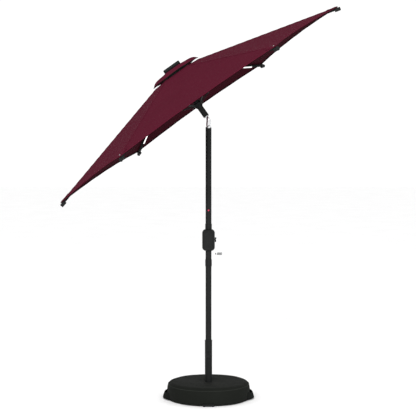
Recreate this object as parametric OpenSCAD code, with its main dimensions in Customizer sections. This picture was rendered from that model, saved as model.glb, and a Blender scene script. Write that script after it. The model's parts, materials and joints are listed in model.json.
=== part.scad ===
// Tilting patio umbrella with a crank, a solar light box and a sand-filled weight base.
// Millimetres, +Z up. The origin is on the floor under the mast, and -Y is the front.
// Everything above the tilt joint is drawn upright and then tipped about the joint's pin.

/* [Canopy] */
// Radius from the mast to a rib's tip
canopy_r = 1000; // [900:10:1010]
// Fall of the ribs below level, in degrees
rib_fall = 14.65; // [12:0.05:17]
// Height of the point where the canopy's crests would meet, upright
apex_z = 2010; // [2008:1:2014]
// How far the fabric sags between two ribs
gore_sag = 2; // [0:1:20]
// How far the rim curves in between two ribs
rim_scallop = 48; // [0:1:60]
// Thickness of the fabric solids
cloth_t = 3; // [2:0.5:3]
// Radius of the vent cap's corners
vent_r = 158; // [140:2:180]

/* [Tilt] */
// Tip of the canopy to the left, in degrees
tilt = 35.25; // [20:0.25:36]
// Height of the tilt joint's pin
pivot_z = 1649; // [1640:1:1660]

/* [Mast] */
// Outer diameter of the poles
pole_d = 35; // [34:1:35]
// Wall of the poles
pole_wall = 1.2; // [1:0.1:1.4]
// Height of the crank's spindle
crank_z = 943; // [938:1:950]
// Distance from the spindle to the grip
crank_reach = 83; // [75:1:90]
// Height of the red light switch
switch_z = 1117; // [1080:1:1200]

/* [Base] */
// Outer radius of the weight bag
bag_r = 243; // [220:1:250]
// Height of the weight bag's top
bag_top = 106; // [90:1:110]
// Outer diameter of the stand tube
stand_d = 43; // [42:1:44]
// Height of the stand tube's top
stand_top = 345; // [330:5:380]
// Height of the clamp knob
knob_z = 262; // [240:1:290]

/* [Hidden] */

$fn = 48;
black = "#262826";
cloth = "#5c2130";
silver = "#c9ccca";
slack = 0.3;                            // gap between round faces that move past each other
fit = 0.05;                             // radial clearance of a running fit

pole_r = pole_d / 2;
bore_r = pole_r - pole_wall;
stand_r = stand_d / 2;
plug_r = bore_r - 0.1;

// Poles
pole_foot = 56;
joint_z = 806;                          // where the lower and the middle pole meet
mast_top = pivot_z - 50;
button_z = mast_top + 14;
upper_start = 23;                       // upper pole's lower end, above the tilt pin

switch_r = 4.6;
cord_r = 2.4;
bend_r = 3.2;                           // the cord where it shows, in its braided sleeve

// Crown, ribs and struts
slope = tan(rib_fall);
hinge_r = 28;                           // radius of the rib and strut hinges
crown_z = apex_z - 20;                  // height of the rib hinges
pin_r = 2;
rib_w = 11;
rib_h = 12;
rib_block_w = 8;
rib_len = (canopy_r - hinge_r) / cos(rib_fall);
rib_cap = 28;                           // length of the moulded tip
tip_w = 17;
tip_low = -14;                          // the tip's lower and upper face, from the rib's middle line
tip_high = 7;
bracket_a = 370;                        // strut bracket's distance along the rib
bracket_b = 14;                         // strut pin's distance below the rib's middle line
strut_w = 6.4;
open_gap = 0.4;                         // clearance at the rib end of a strut
runner_z = 1757;                        // height of the strut hinges
strut_dx = bracket_a * cos(rib_fall) - bracket_b * sin(rib_fall);
strut_dz = crown_z - runner_z - bracket_a * sin(rib_fall) - bracket_b * cos(rib_fall);
strut_len = norm([strut_dx, strut_dz]);
strut_rise = atan2(strut_dz, strut_dx);
led_from = 430;
led_to = 850;
led_t = 2.5;

// Canopy
cloth_r = canopy_r - 8;                 // fabric's reach along a rib
open_rho = 128;                         // vent opening in the main canopy, at mid-gore
panel_gap = 2.5;                        // half the gap between two panels, at the vent
rim_gap = 14;                           // and at the rim, room for the panels to draw together
fold_slack = 0.3;                       // between a panel and the fold strip beside it
panel_rows = 7;
panel_cols = 4;
vent_apex = 2008;
vent_edge = 1978;                       // height of the vent cap's lower edge
vent_brow = [139, 2000];                // radius and height where the cap turns down
vent_hole = 14;
crown_top = crown_z + 13;

// Light box
box_w = 110;
box_z0 = apex_z - 0.8;
box_h = 21;

// Crank housing
house_w = 74;
house_d = 62;
house_h = 125;
house_z = 879;
house_corner = 22;
house_wall = 3;
spindle_r = 4;
drum_r = 8.1;
arm_x = 46;                             // inner face of the crank's arm
arm_t = 3.4;
bolt_r = 2.98;                          // grip's bolt
grip_z = crank_z - crank_reach;

// Weight bag and its frame
bag_floor = 3;
arm_w = 66;
arm_z0 = 4;
arm_h = 10;
arm_len = 250;
plate_t = 6;
plate_r = 55;
foot_side = 26;

// Moves a drawing into the tipped part of the umbrella
module tipped() {
    translate([0, 0, pivot_z]) rotate([0, -tilt, 0]) translate([0, 0, -pivot_z]) children();
}

module tube(r_out, r_in, z0, z1) {
    translate([0, 0, z0]) difference() {
        cylinder(r = r_out, h = z1 - z0);
        translate([0, 0, -1]) cylinder(r = r_in, h = z1 - z0 + 2);
    }
}

// A round bar along Y, from y0 to y1
module bar_y(r, y0, y1, x = 0, z = 0) {
    translate([x, y0, z]) rotate([-90, 0, 0]) cylinder(r = r, h = y1 - y0);
}

// A round bar along X, from x0 to x1
module bar_x(r, x0, x1, y = 0, z = 0) {
    translate([x0, y, z]) rotate([0, 90, 0]) cylinder(r = r, h = x1 - x0);
}

// ---------- base ----------

module base_cross() {
    color(black) difference() {
        union() {
            translate([-arm_len, -arm_w / 2, arm_z0]) cube([2 * arm_len, arm_w, arm_h]);
            translate([-arm_w / 2, -arm_len, arm_z0]) cube([arm_w, 2 * arm_len, arm_h]);
        }
        // hollow undersides of the channel arms, closed at their ends
        for (turn = [0 : 90 : 270]) rotate([0, 0, turn])
            translate([plate_r + 12, -arm_w / 2 + 2, arm_z0 - 1])
                cube([arm_len - plate_r - 26, arm_w - 4, arm_h - 1]);
        for (turn = [45 : 90 : 315]) rotate([0, 0, turn])
            translate([38, 0, 0]) cylinder(r = 3.2, h = 30);
    }
}

module base_feet() {
    color(black) {
        for (turn = [0 : 90 : 270], side = [-1, 1]) rotate([0, 0, turn])
            translate([arm_len - 8, side * foot_side, 0]) cylinder(r1 = 5.5, r2 = 7, h = arm_z0);
        cylinder(r1 = 13, r2 = 15, h = arm_z0);
    }
}

module stand_tube() {
    z0 = arm_z0 + arm_h;
    color(black) difference() {
        union() {
            translate([0, 0, z0]) cylinder(r = plate_r, h = plate_t);
            cylinder_from(stand_r, z0, stand_top);
            for (turn = [0 : 90 : 270]) rotate([0, 0, turn]) translate([stand_r - 1, -2, z0 + plate_t - 1])
                rotate([90, 0, 0]) translate([0, 0, -4]) linear_extrude(4)
                    polygon([[0, 0], [26, 0], [0, 40]]);
            bar_y(9, -stand_r - 6, -stand_r + 4, 0, knob_z);
        }
        translate([0, 0, z0 + plate_t]) cylinder(r = stand_r - 2, h = stand_top);
        for (turn = [45 : 90 : 315]) rotate([0, 0, turn])
            translate([38, 0, 0]) cylinder(r = 3.2, h = 60);
        bar_y(4 + fit, -40, 0, 0, knob_z);
        for (z = screw_heights()) bar_y(2.1, -40, 0, 0, z);
    }
}

function screw_heights() = [knob_z - 37, knob_z - 66];

module cylinder_from(r, z0, z1) {
    translate([0, 0, z0]) cylinder(r = r, h = z1 - z0);
}

module flange_bolts() {
    z0 = arm_z0 + arm_h + plate_t;
    color(silver) for (turn = [45 : 90 : 315]) rotate([0, 0, turn]) translate([38, 0, 0]) {
        cylinder_from(3, arm_z0 + 0.5, z0);
        translate([0, 0, z0]) cylinder(r = 5.5, h = 4, $fn = 6);
    }
}

// Plastic sleeve that takes up the play between the stand tube and the pole
module tube_liner() {
    color(black) difference() {
        union() {
            tube(stand_r - 2, pole_r + fit, 150, stand_top);
            tube(stand_r + 0.6, pole_r + fit, stand_top, stand_top + 3);
        }
        bar_y(4.4, -40, 0, 0, knob_z);
        for (z = screw_heights()) bar_y(2.1, -40, 0, 0, z);
    }
}

module stand_screws() {
    color(black) for (z = screw_heights()) {
        bar_y(2, -stand_r - 0.5, -pole_r - slack, 0, z);
        bar_y(4.5, -stand_r - 2.5, -stand_r - 0.05, 0, z);
    }
}

module clamp_knob() {
    neck = -stand_r - 6.5;
    color(black) {
        bar_y(4, neck - 1, -pole_r - 0.6, 0, knob_z);
        difference() {
            bar_y(17, neck - 14, neck, 0, knob_z);
            for (turn = [0 : 60 : 300]) translate([0, 0, knob_z]) rotate([0, turn, 0])
                bar_y(5, neck - 20, neck - 3, 19, 0);
        }
    }
}

module weight_bag() {
    low = 10;                           // rounding of the bottom edge
    high = 26;                          // rounding of the top edge
    color(black) difference() {
        rotate_extrude($fn = 96) {
            translate([stand_r + 1, bag_floor]) square([bag_r - high - stand_r - 1, bag_top - bag_floor]);
            translate([bag_r - high - 1, bag_floor]) square([high - low + 1, low + 1]);
            translate([bag_r - high - 1, bag_floor + low]) square([high + 1, bag_top - bag_floor - low - high]);
            translate([bag_r - low, bag_floor + low]) circle(r = low);
            translate([bag_r - high, bag_top - high]) circle(r = high);
        }
        for (turn = [0, 90]) rotate([0, 0, turn])
            translate([-arm_len - 5, -arm_w / 2 - 1, 0]) cube([2 * arm_len + 10, arm_w + 2, arm_z0 + arm_h + 1]);
        cylinder_from(plate_r + 3, 0, arm_z0 + arm_h + plate_t + 6);
        cylinder_from(stand_r + 30, 0, 66);
        tube(bag_r - 27, 54, sand_z0() - 0.5, sand_z1() + 0.5);
    }
}

function sand_z0() = 28;
function sand_z1() = bag_top - 16;

module sand_fill() {
    color("#b9a27c") tube(bag_r - 27.5, 54.5, sand_z0(), sand_z1());
}

// A webbing loop that bows out from the bag's side
module bag_handle() {
    bow = 27;
    half_span = 75;
    arc_r = (half_span * half_span + bow * bow) / (2 * bow);
    color(black) intersection() {
        difference() {
            translate([bag_r + bow - arc_r, 0, 0]) tube(arc_r, arc_r - 3, 6, 46);
            cylinder_from(bag_r + 0.2, 0, 60);
        }
        translate([bag_r - 20, -120, 0]) cube([60, 240, 60]);
    }
}

module bag_handles() {
    bag_handle();
    mirror([1, 0, 0]) bag_handle();
}

// ---------- mast below the tilt joint ----------

module lower_pole() {
    color(black) union() {
        tube(pole_r, bore_r, pole_foot, joint_z);
        tube(bore_r + 0.3, plug_r - 1.5, joint_z - 40, joint_z - 0.5);
        tube(plug_r, plug_r - 1.5, joint_z - 1, joint_z + 40);
        cylinder_from(pole_r, pole_foot - 4, pole_foot);
    }
}

module middle_pole() {
    color(black) difference() {
        tube(pole_r, bore_r, joint_z + 0.2, mast_top);
        bar_x(spindle_r + slack, -30, 30, 0, crank_z);
        bar_y(switch_r + 0.5, -30, 0, 0, switch_z);
    }
}

module pole_collars() {
    color(black) {
        tube(19.5, pole_r + fit, joint_z - 20, joint_z + 20);
        tube(19.5, pole_r + fit, house_z + house_h + 2, house_z + house_h + 32);
    }
}

// Rounded block of the crank housing, seen from the front, from y0 to y1
module house_block(grow, y0, y1) {
    w = house_w / 2 + grow;
    c = house_corner + grow;
    mid = house_z + house_h / 2;
    h = house_h / 2 + grow;
    translate([0, y1, mid]) rotate([90, 0, 0]) linear_extrude(y1 - y0) {
        square([2 * w, 2 * (h - c)], center = true);
        square([2 * (w - c), 2 * h], center = true);
        for (x = [-1, 1], z = [-1, 1]) translate([x * (w - c), z * (h - c)]) circle(r = c);
    }
}

module house_shell(front) {
    side = front ? -1 : 1;
    half = house_d / 2;
    color(black) difference() {
        union() {
            house_block(0, front ? -half + 3 : 0.05, front ? -0.05 : half - 3);
            house_block(-2, front ? -half : half - 4, front ? -half + 4 : half);
        }
        house_block(-house_wall, front ? -half + house_wall : -1, front ? 1 : half - house_wall);
        cylinder_from(pole_r + 0.1, house_z - 5, house_z + house_h + 5);
        bar_x(spindle_r + 2, 20, 60, 0, crank_z);
        if (!front) for (p = house_screw_places()) bar_y(2.2, 0, 60, p[0], p[1]);
    }
    if (front) color(black) for (p = house_screw_places())
        bar_post(p);
}

function house_screw_places() = [for (x = [-25, 25], z = [house_z + 18, house_z + house_h - 18]) [x, z]];

// Screw post inside the front shell
module bar_post(p) {
    difference() {
        bar_y(4.5, -house_d / 2 + house_wall - 0.5, -0.1, p[0], p[1]);
        bar_y(1.6, -house_d / 2 + house_wall + 4, 1, p[0], p[1]);
    }
}

module housing_front() { house_shell(true); }
module housing_rear() { house_shell(false); }

module housing_screws() {
    color(silver) for (p = house_screw_places()) {
        bar_y(1.5, -16, house_d / 2, p[0], p[1]);
        bar_y(3.4, house_d / 2 + 0.02, house_d / 2 + 2, p[0], p[1]);
    }
}

module switch_bezel() {
    color(black) difference() {
        bar_y(8, -pole_r - 2, -pole_r + 4, 0, switch_z);
        cylinder_from(pole_r + 0.02, switch_z - 20, switch_z + 20);
        bar_y(switch_r + slack, -30, 0, 0, switch_z);
    }
}

module light_switch() {
    color("#d0405c") bar_y(switch_r, -pole_r - 4, -bore_r, 0, switch_z);
}

module tilt_clevis() {
    color(silver) difference() {
        union() {
            cylinder_from(plug_r, mast_top - 36, mast_top);
            cylinder_from(pole_r - 0.2, mast_top, mast_top + 7);
            translate([-5, -11.5, mast_top + 6]) cube([20, 23, 29]);
            for (side = [-1, 1]) {
                y0 = side < 0 ? -11.5 : 5.5;
                translate([-5, y0, mast_top + 6]) cube([20, 6, 44]);
                bar_y(12, y0, y0 + 6, 0, pivot_z);
            }
        }
        bar_y(12.3, -5.5, 5.5, 0, pivot_z);
        bar_y(4.02, -20, 20, 0, pivot_z);
        bar_y(3.5, -20, -5, 2.5, button_z);
        translate([-7.5, -9.4, mast_top - 50]) cylinder(r = 3.6, h = 70);
    }
}

module tilt_pin() {
    color(silver) {
        bar_y(4, -11.6, 11.6, 0, pivot_z);
        bar_y(5, -12.6, -11.6, 0, pivot_z);
        bar_y(5, 11.6, 12.6, 0, pivot_z);
    }
}

module tilt_button() {
    color(black) bar_y(3.2, -13.8, -7.5, 2.5, button_z);
}

// ---------- lift cord ----------

module cord_run(a, b) {
    d = b - a;
    translate(a) rotate([0, acos(d[2] / norm(d)), atan2(d[1], d[0])]) cylinder(r = cord_r, h = norm(d), $fn = 24);
}

module cord_lower() {
    color(cloth) cord_run([-4, -drum_r - cord_r - slack, crank_z + 1],
                          [-7.5, -9.4, pivot_z + bend_points[0][2] - bend_r - 0.1]);
}

bend_points = [[-7.5, -9.4, -46.5], [-7.6, -9.6, -41.5], [-9.5, -14.6, -33], [-8.8, -15.1, -17],
               [-7.6, -15.2, -1], [-5.2, -15.2, 12], [-6.3, -9.9, 17.6], [-9.5, -9, 22]];

module cord_bend() {
    color(cloth) for (i = [0 : len(bend_points) - 2]) hull() {
        translate([0, 0, pivot_z] + bend_points[i]) sphere(r = bend_r, $fn = 12);
        translate([0, 0, pivot_z] + bend_points[i + 1]) sphere(r = bend_r, $fn = 12);
    }
}

pulley_z = 1945;
hook_z = runner_z + 8;
cord_side = 9.2;                        // the cord's distance from the pulley's middle

module cord_upper() {
    color(cloth) tipped() {
        cord_run([5, -9, pivot_z + 27], [cord_side, 0, pulley_z]);
        cord_run([-cord_side, 0, pulley_z], [-cord_side, 0, hook_z + 2]);
    }
}

// ---------- crank ----------

module crank_shaft() {
    color(silver) {
        bar_x(spindle_r, -22, arm_x + 0.5, 0, crank_z);
        bar_x(drum_r, -9, 9, 0, crank_z);
        bar_x(5.5, 41.1, arm_x + 0.5, 0, crank_z);
        difference() {
            translate([arm_x, -5, grip_z - 5]) cube([arm_t, 10, crank_reach + 10]);
            bar_x(3, 40, 60, 0, grip_z);
        }
    }
}

// Black pieces of the crank: the hub with an ear above and below the arm's boss, and the grip's bolt
module crank_fittings() {
    color(black) difference() {
        bar_x(13.5, 37.6, arm_x - 0.05, 0, crank_z);
        translate([41, -15, crank_z - 5.8]) cube([10, 30, 11.6]);
        bar_x(spindle_r + 0.02, 30, 50, 0, crank_z);
    }
    color(black) {
        bar_x(5, 40.5, arm_x - 0.05, 0, grip_z);
        bar_x(bolt_r, arm_x - 1, 78.4, 0, grip_z);
    }
}

module crank_grip() {
    color("#8f9291") difference() {
        union() {
            bar_x(7, arm_x + arm_t + 0.4, 79, 0, grip_z);
            bar_x(8, 72, 77, 0, grip_z);
        }
        bar_x(bolt_r + fit, 40, 78.6, 0, grip_z);
    }
}

// ---------- mast above the tilt joint ----------

module upper_pole() {
    color(black) tipped() {
        difference() {
            tube(pole_r, bore_r, pivot_z + upper_start, crown_z + 6);
            translate([-pole_r - 2, -2.3, hook_z - 65]) cube([8, 4.6, 70]);
        }
        bar_y(1.2 - fit, -bore_r - 0.5, bore_r + 0.5, 0, pulley_z);
    }
}

module tilt_knuckle() {
    color(silver) tipped() difference() {
        union() {
            bar_y(11.7, -5.2, 5.2, 0, pivot_z);
            translate([-9, -5.2, pivot_z]) cube([18, 10.4, upper_start - 4]);
            cylinder_from(pole_r - 0.1, pivot_z + upper_start - 5, pivot_z + upper_start);
            cylinder_from(plug_r, pivot_z + upper_start, pivot_z + upper_start + 28);
        }
        bar_y(4 + fit, -20, 20, 0, pivot_z);
        translate([5, -9.6, pivot_z + 6]) cylinder(r = 5.6, h = 80);
    }
}

// Ring with six slots and a hinge pin across each one; z is the pins' height
module slotted_hub(r_out, r_in, r_floor, z, half_h, slot_w) {
    difference() {
        tube(r_out, r_in, z - half_h, z + half_h);
        for (turn = [0 : 60 : 300]) rotate([0, 0, turn])
            translate([r_floor, -slot_w / 2, z - half_h - 1]) cube([r_out, slot_w, 2 * half_h + 2]);
    }
    for (turn = [0 : 60 : 300]) rotate([0, 0, turn])
        bar_y(pin_r, -slot_w / 2 - 2, slot_w / 2 + 2, hinge_r, z);
}

module crown_hub() {
    color(black) tipped() {
        slotted_hub(38, pole_r + fit, 21.5, crown_z, 7, rib_block_w + 0.6);
        tube(20, pole_r + fit, crown_z - 20, crown_z + 6);
        cylinder_from(20, crown_z + 6, crown_top);
    }
}

module runner() {
    color(black) tipped() {
        slotted_hub(36, pole_r + 0.4, 22, runner_z, 6, strut_w + 0.8);
        tube(21.9, pole_r + 0.4, runner_z - 20, runner_z + 18);
        bar_x(1.5, -pole_r - 2, -pole_r + 8, 0, hook_z);
    }
}

module cord_pulley() {
    color(silver) tipped() difference() {
        translate([0, 0, pulley_z]) rotate([90, 0, 0]) rotate_extrude()
            polygon([[0, -2.5], [6.6, -2.5], [5.2, -1], [5.2, 1], [6.6, 2.5], [0, 2.5]]);
        bar_y(1.2, -10, 10, 0, pulley_z);
    }
}

// Puts a drawing of a rib, hinge at its origin and the rib along +X, in place
module at_rib(i) {
    tipped() rotate([0, 0, 60 * (i - 1)]) translate([hinge_r, 0, crown_z]) rotate([0, rib_fall, 0]) children();
}

module rib(i) {
    a0 = 14;
    color(black) at_rib(i) difference() {
        union() {
            bar_y(5.5, -rib_block_w / 2, rib_block_w / 2);
            translate([0, -rib_block_w / 2, -4.5]) cube([a0 + 10, rib_block_w, 9]);
            difference() {
                translate([a0, -rib_w / 2, -rib_h / 2]) cube([rib_len - a0 - rib_cap, rib_w, rib_h]);
                translate([a0 + 8, -rib_w / 2 + 1, -rib_h / 2 - 1])
                    cube([rib_len - a0 - rib_cap - 12, rib_w - 2, rib_h]);
            }
            translate([rib_len - rib_cap - 6, -tip_w / 2, tip_low]) cube([22, tip_w, tip_high - tip_low]);
            bar_x((tip_high - tip_low) / 2, rib_len - 12, rib_len, 0, (tip_high + tip_low) / 2);
            for (y = [-rib_w / 2, strut_w / 2 + 0.3]) {
                bar_y(6, y, y + 2, bracket_a, -bracket_b);
                translate([bracket_a - 6, y, -bracket_b]) cube([12, 2, bracket_b - 4]);
            }
            bar_y(pin_r, -rib_w / 2, rib_w / 2, bracket_a, -bracket_b);
        }
        bar_y(pin_r + fit, -10, 10);
    }
}

module strut(i) {
    color(black) tipped() rotate([0, 0, 60 * (i - 1)]) translate([hinge_r, 0, runner_z])
        rotate([0, -strut_rise, 0]) difference() {
            union() {
                bar_y(5, -strut_w / 2, strut_w / 2);
                bar_y(5.2, -strut_w / 2, strut_w / 2, strut_len);
                translate([0, -strut_w / 2, -3.5]) cube([strut_len, strut_w, 7]);
            }
            bar_y(pin_r + fit, -10, 10);
            bar_y(pin_r + open_gap, -10, 10, strut_len);
        }
}

module led_strip(i) {
    color("#f4f4ee") at_rib(i)
        translate([led_from, -rib_w / 2, -rib_h / 2 - led_t - 0.05]) cube([led_to - led_from, rib_w, led_t]);
}

// ---------- canopy ----------

// A gore is the cloth between two ribs. rho runs out along its middle, q across it.
function gore_top(rho, t) =
    apex_z - slope * rho / cos(30) - gore_sag * rho / (cloth_r * cos(30)) * (1 - t * t);
function gore_end(t, reach) = reach - rim_scallop * (1 - t * t);
function row_rho(i, t) = open_rho + (gore_end(t, cloth_r * cos(30)) - open_rho) * i / panel_rows;
function half_gap(rho) = panel_gap + (rim_gap - panel_gap) * (rho - open_rho) / (cloth_r * cos(30) - open_rho);

// Point of row i and column j of a panel, with the rib along +X; j runs from -panel_cols to panel_cols
function panel_point(i, j, lower) =
    let (t = 1 - abs(j) / panel_cols,
         rho = row_rho(i, t),
         q = half_gap(rho) + t * (rho * tan(30) - half_gap(rho)),
         side = j < 0 ? -1 : 1,
         z = gore_top(rho, t) - lower * cloth_t)
    [rho * cos(30) + q * sin(30), side * (rho * sin(30) - q * cos(30)), z];

module canopy_panel(i) {
    across = 2 * panel_cols + 1;
    size = across * (panel_rows + 1);
    points = [for (lower = [0, 1], r = [0 : panel_rows], j = [-panel_cols : panel_cols])
              panel_point(r, j, lower)];
    function at(lower, r, c) = lower * size + r * across + c;
    last = across - 1;
    faces = concat(
        [for (r = [0 : panel_rows - 1], c = [0 : last - 1], h = [0, 1])
            h == 0 ? [at(0, r, c), at(0, r, c + 1), at(0, r + 1, c + 1)]
                   : [at(0, r, c), at(0, r + 1, c + 1), at(0, r + 1, c)]],
        [for (r = [0 : panel_rows - 1], c = [0 : last - 1], h = [0, 1])
            h == 0 ? [at(1, r, c), at(1, r + 1, c + 1), at(1, r, c + 1)]
                   : [at(1, r, c), at(1, r + 1, c), at(1, r + 1, c + 1)]],
        [for (c = [0 : last - 1]) [at(1, 0, c), at(1, 0, c + 1), at(0, 0, c + 1), at(0, 0, c)]],
        [for (c = [0 : last - 1])
            [at(0, panel_rows, c), at(0, panel_rows, c + 1), at(1, panel_rows, c + 1), at(1, panel_rows, c)]],
        [for (r = [0 : panel_rows - 1]) [at(0, r, 0), at(0, r + 1, 0), at(1, r + 1, 0), at(1, r, 0)]],
        [for (r = [0 : panel_rows - 1])
            [at(1, r, last), at(1, r + 1, last), at(0, r + 1, last), at(0, r, last)]]);
    color(cloth) tipped() rotate([0, 0, 60 * (i - 1)]) polyhedron(points, faces);
}

// Narrow strips of cloth along the middles of the gores, which go slack as the ribs fold
module canopy_folds() {
    function strip_point(i, side, lower) =
        let (rho = row_rho(i, 0))
        [rho, side * (half_gap(rho) - fold_slack), gore_top(rho, 0) - lower * cloth_t];
    points = [for (i = [0 : panel_rows], corner = [[-1, 0], [1, 0], [1, 1], [-1, 1]])
              strip_point(i, corner[0], corner[1])];
    sides = [for (i = [0 : panel_rows - 1], c = [0 : 3], h = [0, 1])
             let (a = 4 * i + c, b = 4 * i + (c + 1) % 4)
             h == 0 ? [a, b + 4, a + 4] : [a, b, b + 4]];
    last = 4 * panel_rows;
    faces = concat([[3, 2, 1, 0]], sides, [[last, last + 1, last + 2, last + 3]]);
    color(cloth) tipped() for (turn = [30 : 60 : 330]) rotate([0, 0, turn]) polyhedron(points, faces);
}

// Six-sided cap over the vent, held on the crown under the light box
module vent_cap() {
    color(cloth) tipped() difference() {
        vent_dome(0);
        vent_dome(-cloth_t);
        cylinder_from(vent_hole, vent_edge - 1, vent_apex + 1);
    }
}

// A steep skirt under a nearly level top, moved up by lift
module vent_dome(lift) {
    rise = vent_brow[1] - vent_edge;
    translate([0, 0, vent_edge + lift]) cylinder(r1 = vent_r, r2 = vent_brow[0], h = rise, $fn = 6);
    translate([0, 0, vent_brow[1] + lift - 0.01])
        cylinder(r1 = vent_brow[0], r2 = 0.5, h = vent_apex - vent_brow[1], $fn = 6);
    if (lift < 0) translate([0, 0, vent_edge + 2 * lift]) cylinder(r = vent_r, h = -lift + 0.01, $fn = 6);
}

// ---------- light box ----------

module rounded_plate(w, corner, z0, h) {
    translate([0, 0, z0]) linear_extrude(h) {
        square([w, w - 2 * corner], center = true);
        square([w - 2 * corner, w], center = true);
        for (x = [-1, 1], y = [-1, 1]) translate([x, y] * (w / 2 - corner)) circle(r = corner);
    }
}

module solar_housing() {
    color(black) tipped() difference() {
        union() {
            rounded_plate(box_w, 12, box_z0, box_h);
            cylinder_from(10, crown_top + 0.2, box_z0 + 1);
        }
        rounded_plate(box_w - 10, 7, box_z0 + box_h - 2, 5);
        rounded_plate(box_w - 12, 6, box_z0 + 3, box_h - 8);
    }
}

module solar_panel() {
    color("#1b2236") tipped() rounded_plate(box_w - 10.4, 6.8, box_z0 + box_h - 1.95, 1.6);
}

base_cross();
base_feet();
stand_tube();
flange_bolts();
tube_liner();
stand_screws();
weight_bag();
sand_fill();
bag_handles();
clamp_knob();
lower_pole();
middle_pole();
housing_front();
housing_rear();
housing_screws();
pole_collars();
switch_bezel();
light_switch();
tilt_clevis();
tilt_pin();
tilt_button();
cord_lower();
cord_bend();
cord_upper();
crank_shaft();
crank_fittings();
crank_grip();
upper_pole();
tilt_knuckle();
crown_hub();
vent_cap();
solar_housing();
solar_panel();
cord_pulley();
runner();
rib(1);  // rib_1
rib(2);  // rib_2
rib(3);  // rib_3
rib(4);  // rib_4
rib(5);  // rib_5
rib(6);  // rib_6
strut(1);  // strut_1
strut(2);  // strut_2
strut(3);  // strut_3
strut(4);  // strut_4
strut(5);  // strut_5
strut(6);  // strut_6
led_strip(1);  // led_strip_1
led_strip(2);  // led_strip_2
led_strip(3);  // led_strip_3
led_strip(4);  // led_strip_4
led_strip(5);  // led_strip_5
led_strip(6);  // led_strip_6
canopy_panel(1);  // canopy_panel_1
canopy_panel(2);  // canopy_panel_2
canopy_panel(3);  // canopy_panel_3
canopy_panel(4);  // canopy_panel_4
canopy_panel(5);  // canopy_panel_5
canopy_panel(6);  // canopy_panel_6
canopy_folds();
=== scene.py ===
"""Patio umbrella with base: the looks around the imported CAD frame. Metres, +Z up, -Y to the front."""
import json
import math

import bpy
from mathutils import Matrix, Vector, noise


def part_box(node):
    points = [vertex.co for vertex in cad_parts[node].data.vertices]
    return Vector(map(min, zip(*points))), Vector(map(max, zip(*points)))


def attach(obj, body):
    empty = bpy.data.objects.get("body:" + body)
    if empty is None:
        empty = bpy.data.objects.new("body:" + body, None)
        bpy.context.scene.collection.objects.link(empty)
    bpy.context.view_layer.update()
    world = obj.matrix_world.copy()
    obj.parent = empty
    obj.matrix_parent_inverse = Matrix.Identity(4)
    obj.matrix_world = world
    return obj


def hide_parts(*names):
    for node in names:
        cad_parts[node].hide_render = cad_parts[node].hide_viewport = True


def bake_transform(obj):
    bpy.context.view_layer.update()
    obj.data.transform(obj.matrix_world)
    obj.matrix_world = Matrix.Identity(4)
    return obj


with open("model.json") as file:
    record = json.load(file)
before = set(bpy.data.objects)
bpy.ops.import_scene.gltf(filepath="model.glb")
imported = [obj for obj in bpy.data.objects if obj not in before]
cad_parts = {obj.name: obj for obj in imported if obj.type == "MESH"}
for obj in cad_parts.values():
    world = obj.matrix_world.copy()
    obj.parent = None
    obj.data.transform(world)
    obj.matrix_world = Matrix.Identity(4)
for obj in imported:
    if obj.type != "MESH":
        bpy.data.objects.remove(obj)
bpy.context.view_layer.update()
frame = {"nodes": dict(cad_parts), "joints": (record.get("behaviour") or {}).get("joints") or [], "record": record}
JOINTS = {joint["name"]: joint for joint in frame["joints"]}
NODES = frame["nodes"]

# Camera: a long lens in front of the mast, a little below the tilt joint's height, looking slightly down
CAMERA_DISTANCE = 7.544
CAMERA_HEIGHT = 1.569
CAMERA_SIDE = -0.003
CAMERA_DOWN = math.radians(3.333)
LENS = 111.28
SENSOR = 36

# The frame, upright, as the CAD has it
RIBS = 6
HALF = math.pi / RIBS  # half the angle between two ribs
RIB_FALL = math.radians(14.65)
RIB_HINGE_R = 0.028
CROWN_Z = 1.990
RIB_W = 0.011
RIB_H = 0.012

# The cloth, upright. rho is the distance from the mast along a gore's middle, r the distance along a rib
SLOPE = math.tan(RIB_FALL)
APEX_Z = 2.010
CLOTH_R = 0.992
REACH = CLOTH_R * math.cos(HALF)
CLOTH_T = 0.0012
GORE_SAG = 0.002
SCALLOP = 0.048
OPEN_RHO = 0.126
SEAM_FROM = 0.148
SEAM_TO = CLOTH_R - 0.004
SEAM_STEPS = 120
TAPE_HALF = 0.0065
HEM_WIDTH = 0.018
PANEL_ROWS = 30
PANEL_COLS = 12

# How far the canopy's trims stand up from its surface
TAPE_LIFT = 0.0014
HEM_LIFT = 0.0011
SEAM_STITCH_LIFT = 0.0016
HEM_STITCH_LIFT = 0.0013
POCKET_LIFT = 0.0026
RIVET_LIFT = 0.0038
RIVET_R = 0.978

# The tilt joint
PIVOT = Vector(JOINTS["canopy_tilt"]["pos_m"])
TILT = math.radians(JOINTS["canopy_tilt"]["range_deg"][1])
TIPPED = Matrix.Translation(PIVOT) @ Matrix.Rotation(-TILT, 4, "Y") @ Matrix.Translation(-PIVOT)
TIPPED_TURN = TIPPED.to_3x3()
CANOPY_UP = TIPPED_TURN @ Vector((0, 0, 1))

# The vent cap and the light box on it, upright
VENT_R = 0.158
VENT_HOLE = 0.014
VENT_TOP = 2.0090
VENT_FALL = 0.0262
BOX_HALF = 0.055
BOX_LOW = 2.0092

# The weight bag, and the stand tube that passes through it
BAG_R = 0.2445
BAG_FLOOR = 0.003
BAG_SHOULDER_R = 0.212
BAG_SHOULDER_Z = 0.1040
BAG_SEAM_Z = 0.0885
TUBE_R = 0.0215

# Edges sharper than this are shaded as edges
CREASE = math.radians(50)


# ---------- node materials ----------

UV_LAYER = "weave"


def material(name):
    """A new node material, its Principled shader and its node tree."""
    made = bpy.data.materials.new(name)
    made.use_nodes = True
    shader = made.node_tree.nodes["Principled BSDF"]
    return made, shader, made.node_tree


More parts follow.
